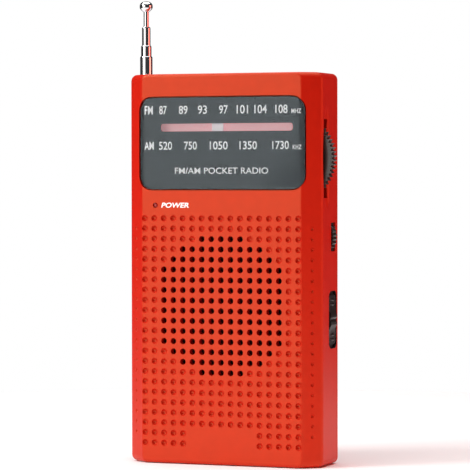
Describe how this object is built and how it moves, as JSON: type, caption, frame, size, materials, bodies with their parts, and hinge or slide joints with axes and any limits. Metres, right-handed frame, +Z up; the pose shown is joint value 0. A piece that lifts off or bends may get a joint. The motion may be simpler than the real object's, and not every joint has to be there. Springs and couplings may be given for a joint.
{
  "type": "transistor pocket radio",
  "caption": "Upright pocket radio with a dial window, round speaker grille, side thumbwheels and slide switch, and a telescopic aerial at the top left.",
  "frame": {"origin": "centre of the case's base, midway between its front and back", "axes": "+X towards the tuning wheel's side, +Y to the back, +Z up"},
  "size_m": [0.0653, 0.022, 0.1406],
  "materials": {
    "orange_abs": "moulded, satin",
    "black_abs": "moulded, satin",
    "clear_acrylic": "polished",
    "printed_film": "screen printed",
    "pink_card": "matt",
    "white_abs": "moulded",
    "chrome": "bright plated",
    "steel": "zinc plated",
    "brass": "plain",
    "cord": "braided",
    "laminate": "pressed laminate",
    "epoxy": "moulded",
    "ferrite": "sintered",
    "copper_winding": "enamelled wire",
    "red_lamp": "diffused",
    "cone_paper": "pressed",
    "speaker_fabric": "woven",
    "cell_steel": "printed sleeve",
    "capacitor_sleeve": "shrunk sleeve",
    "red_wire": "extruded",
    "black_wire": "extruded"
  },
  "bodies": {
    "case": {"front_cover": "orange_abs", "back_cover": "orange_abs", "dial_lens": "clear_acrylic", "scale_mask": "printed_film", "dial_backing": "pink_card", "pointer_rail": "steel", "dial_cord": "cord", "pulley_pin_left": "steel", "pulley_pin_right": "steel", "tuning_potentiometer": "steel", "volume_potentiometer": "steel", "band_switch_body": "steel", "power_led": "red_lamp", "antenna_sleeve": "brass", "speaker_cloth": "speaker_fabric", "speaker_frame": "steel", "speaker_cone": "cone_paper", "speaker_dust_cap": "cone_paper", "speaker_magnet": "steel", "circuit_board": "laminate", "ferrite_rod": "ferrite", "aerial_coil": "copper_winding", "coil_can_1": "steel", "coil_can_2": "steel", "coil_can_3": "steel", "receiver_chip": "epoxy", "capacitor_1": "capacitor_sleeve", "capacitor_2": "capacitor_sleeve", "capacitor_3": "capacitor_sleeve", "earphone_socket": "black_abs", "battery_tray": "black_abs", "battery_1": "cell_steel", "battery_2": "cell_steel", "battery_spring_1": "steel", "battery_spring_2": "steel", "contact_plate_1": "steel", "contact_plate_2": "steel", "case_screw_1": "steel", "case_screw_2": "steel", "case_screw_3": "steel", "case_screw_4": "steel", "speaker_lead_1": "red_wire", "speaker_lead_2": "black_wire", "battery_lead_1": "red_wire"},
    "tuning": {"tuning_wheel": "black_abs", "cord_drum": "white_abs", "tuning_wheel_screw": "steel"},
    "pointer": {"dial_pointer": "white_abs"},
    "left_pulley": {"pulley_left": "white_abs"},
    "right_pulley": {"pulley_right": "white_abs"},
    "volume": {"volume_wheel": "black_abs", "volume_wheel_screw": "steel"},
    "band_switch": {"band_switch_knob": "black_abs"},
    "cell_door": {"battery_door": "orange_abs"},
    "aerial_1": {"antenna_section_1": "chrome"},
    "aerial_2": {"antenna_section_2": "chrome"},
    "aerial_3": {"antenna_section_3": "chrome"},
    "aerial_4": {"antenna_section_4": "chrome", "antenna_tip": "chrome"}
  },
  "joints": [
    {"name": "tuning_turn", "type": "hinge", "parent": "case", "child": "tuning", "pos_m": [0.021, -0.0053, 0.0924], "axis": [0, 1, 0], "range_deg": [-118, 172]},
    {"name": "pointer_travel", "type": "slide", "parent": "case", "child": "pointer", "axis": [1, 0, 0], "range_m": [-0.0159, 0.0231]},
    {"name": "left_pulley_turn", "type": "hinge", "parent": "case", "child": "left_pulley", "pos_m": [-0.022, -0.0015, 0.107], "axis": [0, 1, 0], "range_deg": [-460, 665]},
    {"name": "right_pulley_turn", "type": "hinge", "parent": "case", "child": "right_pulley", "pos_m": [0.026, -0.0015, 0.107], "axis": [0, 1, 0], "range_deg": [-460, 665]},
    {"name": "volume_turn", "type": "hinge", "parent": "case", "child": "volume", "pos_m": [0.02405, 0.0008, 0.0687], "axis": [0, 1, 0], "range_deg": [0, 300]},
    {"name": "band_select", "type": "slide", "parent": "case", "child": "band_switch", "axis": [0, 0, 1], "range_m": [-0.0011, 0.0011]},
    {"name": "cell_door_swing", "type": "hinge", "parent": "case", "child": "cell_door", "pos_m": [0, 0.0103, 0.00415], "axis": [-1, 0, 0], "range_deg": [0, 80]},
    {"name": "aerial_pull_1", "type": "slide", "parent": "case", "child": "aerial_1", "axis": [0, 0, 1], "range_m": [-0.0056, 0.06]},
    {"name": "aerial_pull_2", "type": "slide", "parent": "aerial_1", "child": "aerial_2", "axis": [0, 0, 1], "range_m": [-0.0032, 0.064]},
    {"name": "aerial_pull_3", "type": "slide", "parent": "aerial_2", "child": "aerial_3", "axis": [0, 0, 1], "range_m": [-0.0056, 0.062]},
    {"name": "aerial_pull_4", "type": "slide", "parent": "aerial_3", "child": "aerial_4", "axis": [0, 0, 1], "range_m": [-0.0045, 0.063]}
  ],
  "couplings": [
    {"joint": "pointer_travel", "follows": "tuning_turn", "m_per_rad": 0.0076},
    {"joint": "left_pulley_turn", "follows": "tuning_turn", "ratio": 3.8},
    {"joint": "right_pulley_turn", "follows": "tuning_turn", "ratio": 3.8}
  ]
}
